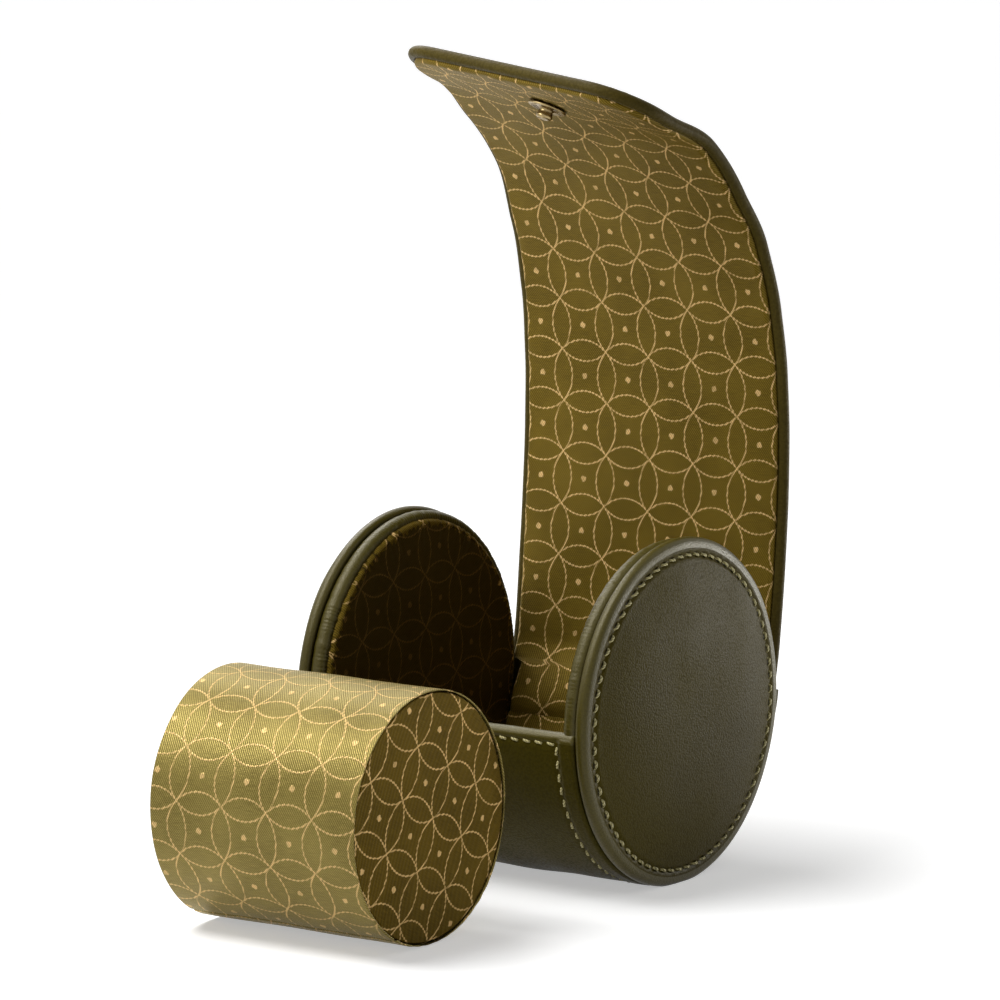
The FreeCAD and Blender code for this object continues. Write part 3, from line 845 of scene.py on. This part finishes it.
def leather_relief(across, along, inward):
    """Soft unevenness of the padded back, and the seam's dip along its edge."""
    seam = bell(inward - flap_seam_inset, SEAM_WIDTH)
    swell = 0.14 * MM * swells(across, along, 38 * MM, 10, 5) * smooth(inward / CORNER_ROUND)
    return swell - FLAP_SEAM_PULL * seam


def lining_relief(across, along, inward):
    """The cloth is drawn into the groove along its edge, with small uneven puckers there."""
    around = across + along
    puckers = swells(around, 0.3 * around, 5.5 * MM, 12, 9)
    near_edge = bell(inward, 3.2 * MM) * smooth(inward / (0.8 * MM))
    broad = 0.5 * (1 + swells(across, along, 30 * MM, 10, 11))
    return 0.11 * MM * puckers * near_edge + 0.22 * MM * broad


flap_half = trough_half
flap_seam_inset = flap_half - side_seam
lip_middle = (LIP_ROUND, LIP_SETBACK + LIP_ROUND)
lip_top = LIP_SETBACK + 2 * LIP_ROUND
padded_inset = np.append(np.arange(LIP_ROUND + 0.4 * MM, CORNER_ROUND, 0.55 * MM), CORNER_ROUND)


def padded_out(inset):
    """How far out the padded back stands, at a distance in from the flap's edge."""
    return lip_top + (FLAP_THICKNESS - lip_top) * smooth((inset - LIP_ROUND) / LIP_RISE)


leather_section = np.concatenate([
    [(LIP_WIDTH + 1.4 * MM, FLAP_BED)],
    arc(lip_middle, LIP_ROUND, -45, -270, 26),
    rows_of(padded_inset, padded_out(padded_inset)),
])
seam_out = padded_out(flap_seam_inset)
lining_half = flap_half - LIP_WIDTH
lining_corner = CORNER_ROUND - LIP_WIDTH
lining_section = np.concatenate([
    [(0.15 * MM, FLAP_BED)],
    arc((LINING_ROUND, LINING_ROUND), LINING_ROUND, 180, 270, 9),
    [(inset, 0.0) for inset in np.arange(LINING_ROUND + 0.4 * MM, lining_corner, 0.5 * MM)],
    [(lining_corner, 0.0)],
])

# Below its hinge the lining runs on down into the trough, between the two inner pads
LINING_MEETS = 5 * MM
PAD_ROOM = 0.3 * MM
RING_ROOM = 0.15 * MM
ROOM_FADE = 0.5 * MM
root_way = panels[0][1][1:]
lead_base = hinges[0, 1:] - root_way * LEAD_IN - (0, axis_z)
lead_out = np.cross(panels[0][1], panels[0][0])[1:]
lead_dot = float(lead_base @ lead_out)
lead_shift = -lead_dot + math.sqrt(lead_dot**2 - lead_base @ lead_base + trough_inner**2)
lead_place = lead_base + lead_out * lead_shift
lead_turn = math.atan2(lead_place[1], lead_place[0])
lead_slope = math.tan(math.atan2(root_way[1], root_way[0]) - (lead_turn + math.pi / 2))
trough_lining_half = pad_low.x + PAD_ROOM


def lining_place(across, along, out):
    """Point of the lining: on the flap above the hinge, and drawn in to the trough's wall below it."""
    reach = LEAD_IN + LINING_MEETS
    share = np.clip((along + LEAD_IN) / reach, 0, 1)
    drawn = hermite(lead_shift, 0, -lead_slope, 0, reach, share)
    line = lead_base[:, None] + root_way[:, None] * (along + LEAD_IN) + lead_out[:, None] * drawn
    room = smooth((np.hypot(*line) - ring_high.y - RING_ROOM) / ROOM_FADE)
    width = trough_lining_half / lining_half * (1 - room) + room
    return flap_place(across * np.where(share < 1, width, 1), along, out + drawn)


def skin_place(across, along, out):
    """Point of the flap's leather, which thins towards the case."""
    root = smooth(1 - (along + SKIN_LEAD) / ROOT_REACH)
    return flap_place(across, along, out * (1 - ROOT_THINNING * root))


skin = flap_sheet("flap_skin", leather_section, flap_half, flap_end, CORNER_ROUND, -SKIN_LEAD,
                  leather_relief, skin_place, flap_leather)
skin.data.flip_normals()
padding = flap_sheet("flap_cloth", lining_section, lining_half, flap_end - LIP_WIDTH, lining_corner, -LEAD_IN,
                     lining_relief, lining_place, lining_cloth)
skin_pieces = cut_at_panels(skin, "flap_skin")
cloth_pieces = cut_at_panels(padding, "flap_cloth")


def flap_stitch_places():
    """(across, along, heading) of the seam up one side, across the end and down the other."""
    inner = flap_half - CORNER_ROUND
    bend = CORNER_ROUND - flap_seam_inset
    top = flap_end - CORNER_ROUND
    corner = arc((inner, top), bend, 0, 90)
    half = np.concatenate([[(side_seam, -SKIN_LEAD)], corner, [(0, flap_end - flap_seam_inset)]])
    whole = np.concatenate([half, (half * (-1, 1))[-2::-1]])
    even, _ = resample(whole, STITCH_PITCH)
    way = np.gradient(even, axis=0)
    return [(across, along, math.atan2(dy, dx)) for (across, along), (dx, dy) in zip(even, way)]


def flap_stitch_surface(across, along, height):
    return skin_place(across, along, seam_out - FLAP_STITCH_SINK + height)


flap_stitches = [[] for _ in range(PANELS)]
for stitch in flap_stitch_places():
    flap_stitches[panel_at(stitch[1])].append(stitch)

for number in range(PANELS):
    sewn = stitches(f"flap_stitches_{number + 1}", flap_stitches[number], flap_stitch_surface, seam_thread)
    outer = skin_pieces[number]
    cloth = cloth_pieces[number]
    for piece, slot in ((outer, "olive_leather"), (sewn, "olive_leather"), (cloth, "satin_lining")):
        bend_with_flap(piece)
    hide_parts(f"flap_leather_{number + 1}")
    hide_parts(f"flap_lining_{number + 1}")


# Trough: leather from the rolled front edge, under the case and up the back to the flap

EDGE_INSIDE = 6 * MM
SOCKET_OPENING = 4.2 * MM
SIDE_ROUND = 1.0 * MM
LINING_DIP = 0.06
LINING_ROWS = 150
LINING_COLUMNS = 90
roll_radius = (trough_radius - trough_inner) / 2
roll_middle = np.array([-(trough_radius + trough_inner) / 2, bead_high.z - axis_z - roll_radius])


def trough_path():
    """Outer line of the trough, (y, z) from the axis: over the front edge, under and up the back."""
    inside = [roll_middle + (roll_radius, -EDGE_INSIDE)]
    roll = arc(roll_middle, roll_radius, 0, 180, 40)
    front = math.degrees(math.atan2(roll_middle[1], -trough_radius)) % 360
    under = arc((0, 0), trough_radius, front, 360 + math.degrees(WEDGE_START), 400)
    way = np.array([-math.sin(WEDGE_START), math.cos(WEDGE_START)])
    root = lead_base + root_way * (LEAD_IN - SKIN_LEAD)
    meet = root + lead_out * FLAP_THICKNESS * (1 - ROOT_THINNING)
    reach = np.linalg.norm(meet - under[-1])
    wedge = hermite(under[-1], meet, way, root_way, reach, np.linspace(0, 1, 60)[:, None])
    return np.concatenate([inside, roll, under[1:], wedge[1:]])


shell_line, shell_along = resample(trough_path(), 0.15 * MM)
shell_out = line_normals(shell_line)
edge_top = shell_along[np.argmax(shell_line[: len(shell_line) // 4, 1])]
shell_along = shell_along - edge_top
shell_end = shell_along[-1]


def trough_place(across, along, out):
    """Point of the trough's leather: along from the top of its front edge, out from its surface."""
    across, along, out = np.broadcast_arrays(across, along, out)
    outward = look_up(along, shell_along, shell_out)
    flat = look_up(along, shell_along, shell_line) + outward * out[..., None]
    return np.stack([across, flat[..., 0], np.maximum(flat[..., 1] + axis_z, 0)], -1)


socket_points = node_points("snap_socket")
socket_way = socket_points.mean(0) - (0, 0, axis_z)
socket_way[0] = 0
socket_way = unit(socket_way)
socket_reach = (socket_points - (0, 0, axis_z)) @ socket_way
socket_radius = socket_points[:, 0].max()


def trough_dips(across, along):
    """Seams pull the leather in, and it swells softly between them."""
    below = smooth((along - FRONT_SEAM_DROP + 2 * SEAM_WIDTH) / SEAM_WIDTH)
    sides = bell(np.abs(across) - side_seam, SEAM_WIDTH) * below
    top = bell(along - FRONT_SEAM_DROP, SEAM_WIDTH) * (np.abs(across) < side_seam)
    band = 0.25 * MM * smooth((np.abs(across) - side_seam) / (1.5 * MM)) * below
    puff = 0.12 * MM * swells(across, along, 26 * MM, 8, 21)
    return band + puff - SEAM_PULL * np.maximum(sides, top)


def from_socket(points):
    """Distance from the socket's axis, and whether the point is in the wall that holds the socket."""
    flat = points - (0, 0, axis_z)
    return off_axis(flat, socket_way), (flat @ socket_way) > trough_inner / 2


def socket_hollow(points):
    """Sinks the leather round the socket, which sits in a shallow hollow."""
    apart, front = from_socket(points)
    near = smooth(1 - (apart - socket_radius - 0.4 * MM) / (0.9 * MM))
    depth = trough_radius - socket_reach.max() + 0.5 * MM
    return points - np.outer(near * front * depth, socket_way)


def make_trough():
    half = trough_half
    corner = arc((half - SIDE_ROUND, -SIDE_ROUND), SIDE_ROUND, 90, 0, 7)
    seam_columns = np.arange(side_seam - 2 * MM, half - SIDE_ROUND - 0.1 * MM, 0.25 * MM)
    columns = [*np.linspace(0, side_seam - 2.2 * MM, 32), *seam_columns]
    right = np.concatenate([[(column, 0) for column in columns], corner, [(half, -2 * SIDE_ROUND)]])
    section = np.concatenate([(right * (-1, 1))[:0:-1], right])
    fine = np.arange(shell_along[0], FRONT_SEAM_DROP + 3 * MM, 0.3 * MM)
    coarse = np.linspace(FRONT_SEAM_DROP + 3.3 * MM, shell_end, 150)
    rows = np.concatenate([fine, coarse])
    across = np.broadcast_to(section[:, 0], (len(rows), len(section)))
    along = np.broadcast_to(rows[:, None], across.shape)
    path_radius = np.hypot(*look_up(rows, shell_along, shell_line).T)
    wall = np.maximum(path_radius - trough_radius, 0) * (rows > FRONT_SEAM_DROP)
    level = np.broadcast_to(section[:, 1], across.shape).copy()
    level[:, [0, -1]] -= wall[:, None]
    points = trough_place(across, along, level + trough_dips(across, along)).reshape(-1, 3)
    points = socket_hollow(points)
    uv = rows_of(across, along)
    faces = grid_faces(len(rows), len(section))[:, ::-1]
    apart, front = from_socket(points[faces].mean(1))
    faces = faces[~((apart < SOCKET_OPENING) & front)]
    shell = build("trough_shell", points, faces, uv / MM, shell_leather)
    repaint(shell, ring_leather, lambda at: (at[:, 2] > bead_high.z - EDGE_BAND) & (at[:, 1] < 0))
    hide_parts("trough_leather", "trough_board", "front_bead", "flap_wedge")
    settle(shell, "case")


def make_trough_stitches():
    down = np.arange(FRONT_SEAM_DROP, shell_end - STITCH_PITCH / 2, STITCH_PITCH)
    count = int(round(2 * side_seam / STITCH_PITCH))
    across = (np.arange(count) + 0.5) * 2 * side_seam / count - side_seam
    places = [(side * side_seam, along + STITCH_PITCH / 2, math.pi / 2) for side in (-1, 1) for along in down]
    places += [(at, FRONT_SEAM_DROP, 0.0) for at in across]

    def surface(across, along, height):
        return trough_place(across, along, height + trough_dips(across, along) - TROUGH_STITCH_SINK)

    settle(stitches("trough_stitches", places, surface, seam_thread), "case")


def make_trough_lining():
    """Cloth inside the trough, from the front edge's inner side to where the flap's lining takes over."""
    turn = np.linspace(math.pi + LINING_DIP, FULL_TURN + lead_turn, LINING_ROWS)[:, None]
    across = np.linspace(-trough_lining_half, trough_lining_half, LINING_COLUMNS)[None, :]
    along = (turn - FULL_TURN - lead_turn) * trough_inner - LEAD_IN
    level = 0.12 * MM * (1 + swells(across, along, 24 * MM, 8, 15))
    radius = trough_inner + level
    points = rows_of(across, radius * np.cos(turn), axis_z + radius * np.sin(turn))
    uv = rows_of(across, along)
    faces = grid_faces(LINING_ROWS, LINING_COLUMNS)
    piece = build("trough_cloth", points, faces, uv / MM, lining_cloth)
    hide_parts("trough_lining")
    settle(piece, "case")


make_trough()
make_trough_stitches()
make_trough_lining()


# Snap: stud on the flap's end and socket in the trough's front wall

SNAP_SIDES = 96


def on_axis(origin, way):
    """Puts a turned piece's own axis on a line through origin."""
    aside = np.array([1.0, 0.0, 0.0])
    aside = unit(aside - way * (aside @ way))
    axes = np.stack([way, aside, np.cross(way, aside)])

    def place(points):
        return origin + points @ axes
    return place


def make_stud():
    across, along = panels[-1]
    way = -np.cross(along, across)
    seat = mid_panels[-1]
    stud = node_points("snap_stud") - seat
    height = float((stud @ way).max())
    flange = float(off_axis(stud, way).max())
    post = 2.0 * MM
    neck = 1.65 * MM
    lip = 0.85 * MM
    line = np.concatenate([
        [(height - 0.22 * MM, 0), (height - 0.2 * MM, 0.5 * MM), (height - 0.02 * MM, 0.85 * MM)],
        arc((height - 0.75 * MM, post - 0.75 * MM), 0.75 * MM, 0, 130, 14),
        [(lip + 0.35 * MM, neck), (lip + 0.02 * MM, neck + 0.3 * MM), (lip - 0.2 * MM, neck + 0.9 * MM)],
        [(lip - 0.25 * MM, flange - 1.3 * MM)],
        arc((lip - 0.35 * MM, flange - 0.45 * MM), (0.35 * MM, 0.45 * MM), 20, 170, 12),
        [(-0.3 * MM, flange - 0.7 * MM)],
    ])
    piece = lathe("snap_stud_cap", line, SNAP_SIDES, bronze, on_axis(seat, way))
    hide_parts("snap_stud", "stud_anchor")
    settle(piece, "flap_panel_10")


def make_socket():
    face = float(socket_reach.max())
    bore = 2.45 * MM
    rim = 3.1 * MM
    line = np.concatenate([
        [(face - 2.6 * MM, 0), (face - 2.6 * MM, bore)],
        [(face - 0.5 * MM, bore)],
        arc((face - 0.3 * MM, rim), 0.4 * MM, -150, -300, 12),
        [(face - 0.15 * MM, rim + 0.8 * MM)],
        arc((face - 0.35 * MM, socket_radius - 0.5 * MM), 0.5 * MM, 40, 120, 10),
        [(face - 1.2 * MM, socket_radius)],
    ])
    seat = np.array([0, 0, axis_z])
    piece = lathe("snap_socket_ring", line, SNAP_SIDES, bronze, on_axis(seat, socket_way))
    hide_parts("snap_socket", "socket_plate")
    settle(piece, "case")


make_stud()
make_socket()


# Pillow: a cloth sleeve tucked in at both ends, and a crowned cloth disc in each end

EDGE_ROUND = 0.28 * MM
GROOVE_WIDTH = 0.18 * MM
GROOVE_DEPTH = 0.5 * MM
RIM_BEND = 0.4 * MM
DISC_CROWN = 0.9 * MM
DISC_TILT = math.radians(28)
SLEEVE_SIDES = 520
DISC_SIDES = 360
pillow_radius = (sleeve_high.z - sleeve_low.z) / 2
pillow_middle = np.array([0, (sleeve_low.y + sleeve_high.y) / 2, pillow_radius])
disc_edge = pillow_radius - 2 * EDGE_ROUND - GROOVE_WIDTH
SLEEVE_SEAM = math.radians(-118)


def sleeve_line():
    left = sleeve_low.x
    right = sleeve_high.x
    body = np.linspace(left + EDGE_ROUND, right - EDGE_ROUND, 70)[1:-1]
    tucked = pillow_radius - 2 * EDGE_ROUND
    return np.concatenate([
        [(right - GROOVE_DEPTH, tucked)],
        arc((right - EDGE_ROUND, pillow_radius - EDGE_ROUND), EDGE_ROUND, -90, 90, 14),
        [(along, pillow_radius) for along in body[::-1]],
        arc((left + EDGE_ROUND, pillow_radius - EDGE_ROUND), EDGE_ROUND, 90, 270, 14),
        [(left + GROOVE_DEPTH, tucked)],
    ])


def sleeve_relief(line, turn):
    along = line[:, :1]
    soft = 0.14 * MM * swells(along, turn * pillow_radius, 26 * MM, 10, 41)
    apart = (turn - SLEEVE_SEAM % FULL_TURN) * pillow_radius
    seam = -0.35 * MM * bell(apart, 0.45 * MM)
    edges = 0.03 * MM * ripples(turn, 14, 60, 8, 43) * bell(sleeve_high.x - along, 3 * MM)
    return soft * 0.7 + seam + edges - 0.1 * MM


def make_sleeve():
    place = seated(1, pillow_middle)
    # The sleeve wears the lighter copy of the lining satin, painted light
    sleeve = lathe("pillow_cover", sleeve_line(), SLEEVE_SIDES, sleeve_cloth_painted_light, place, sleeve_relief)
    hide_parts("pillow_sleeve", "pillow_core")
    settle(sleeve, "pillow")


def make_disc(name, side, tip):
    radius = np.linspace(0, disc_edge - RIM_BEND, 34)
    face = rows_of(tip - DISC_CROWN * (radius / disc_edge) ** 2, radius)
    rim = arc((face[-1, 0] - RIM_BEND, disc_edge - RIM_BEND), RIM_BEND, 0, 90, 10)[1:]
    line = np.concatenate([face, rim, [(tip - DISC_CROWN - GROOVE_DEPTH, disc_edge + GROOVE_WIDTH)]])
    seed = 50 + side

    def relief(line, turn):
        share = line[:, 1:] / disc_edge
        gather = 0.04 * MM * ripples(turn, 30, 120, 10, seed) * smooth((share - 0.85) / 0.15)
        return gather + 0.15 * MM * ripples(turn, 2, 7, 5, seed + 3) * smooth(share)

    def flat(points):
        return rows_of(*turned(points[:, 1] * side, points[:, 2], DISC_TILT))

    place = seated(side, pillow_middle)
    # The end disc wears the darker copy of the lining satin, painted shade
    end = lathe(f"pillow_{name}_disc", line, DISC_SIDES, disc_cloth_painted_shade, place, relief, flat)
    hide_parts(f"pillow_{name}_end", f"pillow_{name}_board")
    settle(end, "pillow")


make_sleeve()
make_disc("right", 1, right_end_high.x)
make_disc("left", -1, -left_end_low.x)


# Camera at the photograph's angle; the target's pixel and the focal length are in its 1000 x 1000 frame

FRAME_PIXELS = 1000
SENSOR = 36.0
AZIMUTH = math.radians(35.15)
ELEVATION = math.radians(8.94)
DISTANCE = 1.53009
FOCAL_PIXELS = 6464.54
TARGET_PIXEL = (538.19, 693.51)
FARTHEST = 50


def aim(holder, way):
    holder.rotation_mode = "QUATERNION"
    holder.rotation_quaternion = way.to_track_quat("-Z", "Y")


def make_camera():
    level = math.cos(ELEVATION)
    back = Vector((math.sin(AZIMUTH) * level, -math.cos(AZIMUTH) * level, math.sin(ELEVATION)))
    right = Vector((math.cos(AZIMUTH), math.sin(AZIMUTH), 0))
    up = back.cross(right)
    per_pixel = DISTANCE / FOCAL_PIXELS
    aside = right * (TARGET_PIXEL[0] - FRAME_PIXELS / 2) * per_pixel
    above = up * (FRAME_PIXELS / 2 - TARGET_PIXEL[1]) * per_pixel
    camera = link("camera", bpy.data.cameras.new("camera"))
    camera.data.sensor_width = SENSOR
    camera.data.lens = FOCAL_PIXELS / FRAME_PIXELS * SENSOR
    camera.data.clip_end = FARTHEST
    camera.location = Vector((0, 0, axis_z)) + back * DISTANCE - aside - above
    aim(camera, -back)
    bpy.context.scene.camera = camera


# Light: a pale room, a broad sun from the upper left, two softboxes on the left and a weak lamp behind

WHITE = (1, 1, 1, 1)
FLOOR_SHADE = (0.84, 0.84, 0.84, 1)
FLOOR_GLOW = 0.42
FLOOR_HALF = 6.0
FLOOR_DROP = 0.02 * MM
ROOM_LIGHT = 0.14


def seen_directly(nodes):
    """1 for rays from the camera, off something shiny or through something clear, and otherwise 0."""
    rays = nodes.add("LightPath").outputs
    seen = nodes.maths("MAXIMUM", rays["Is Camera Ray"], rays["Is Glossy Ray"])
    return nodes.maths("MAXIMUM", seen, rays["Is Transmission Ray"])


def make_floor():
    nodes = Nodes("floor")
    nodes.set(Base_Color=FLOOR_SHADE, Roughness=0.9)
    strength = nodes.maths("MULTIPLY", seen_directly(nodes), FLOOR_GLOW)
    glow = nodes.add("Emission", {"Color": WHITE, "Strength": strength})
    both = nodes.add("AddShader", {0: nodes.shader.outputs[0], 1: glow.outputs[0]})
    nodes.show(both.outputs[0], "Material Output")
    uv = [(0, 0), (1, 0), (1, 1), (0, 1)]
    corners = [((2 * x - 1) * FLOOR_HALF, (2 * y - 1) * FLOOR_HALF, 0) for x, y in uv]
    floor = build("floor", corners, [[0, 1, 2, 3]], uv, nodes.owner)
    floor.location.z = -FLOOR_DROP


def make_world():
    nodes = Nodes("room", bpy.data.worlds, "Background")
    nodes.set(Color=WHITE, Strength=ROOM_LIGHT)
    backdrop = nodes.add("Background", {"Color": WHITE})
    shaders = {0: seen_directly(nodes), 1: nodes.shader.outputs[0], 2: backdrop.outputs[0]}
    both = nodes.add("MixShader", shaders)
    nodes.show(both.outputs[0], "World Output")
    bpy.context.scene.world = nodes.owner


def make_sun(way, strength, spread):
    """Broad even light that comes from the given direction."""
    sun = bpy.data.lights.new("key_light", "SUN")
    sun.energy = strength
    sun.angle = math.radians(spread)
    aim(link("key_light", sun), -Vector(way))


def make_lamp(name, place, size, power, target):
    lamp = bpy.data.lights.new(name, "AREA")
    lamp.shape = "DISK"
    lamp.size = size
    lamp.energy = power
    holder = link(name, lamp)
    holder.location = place
    holder.visible_camera = False
    aim(holder, Vector(target) - Vector(place))


make_camera()
make_floor()
make_world()
make_sun((-0.42, -0.2, 1.0), strength=1.75, spread=34)
make_lamp("softbox", (-0.11, -0.2, 0.3), size=0.2, power=0.62, target=(0, 0.03, 0.17))
make_lamp("back_softbox", (-0.36, 0.2, 0.46), size=0.3, power=1.1, target=(-0.03, -0.05, 0.05))
make_lamp("rim_lamp", (0.21, 0.34, 0.045), size=0.08, power=0.36, target=(0.04, 0.01, 0.03))
bpy.context.scene.view_settings.view_transform = "Standard"
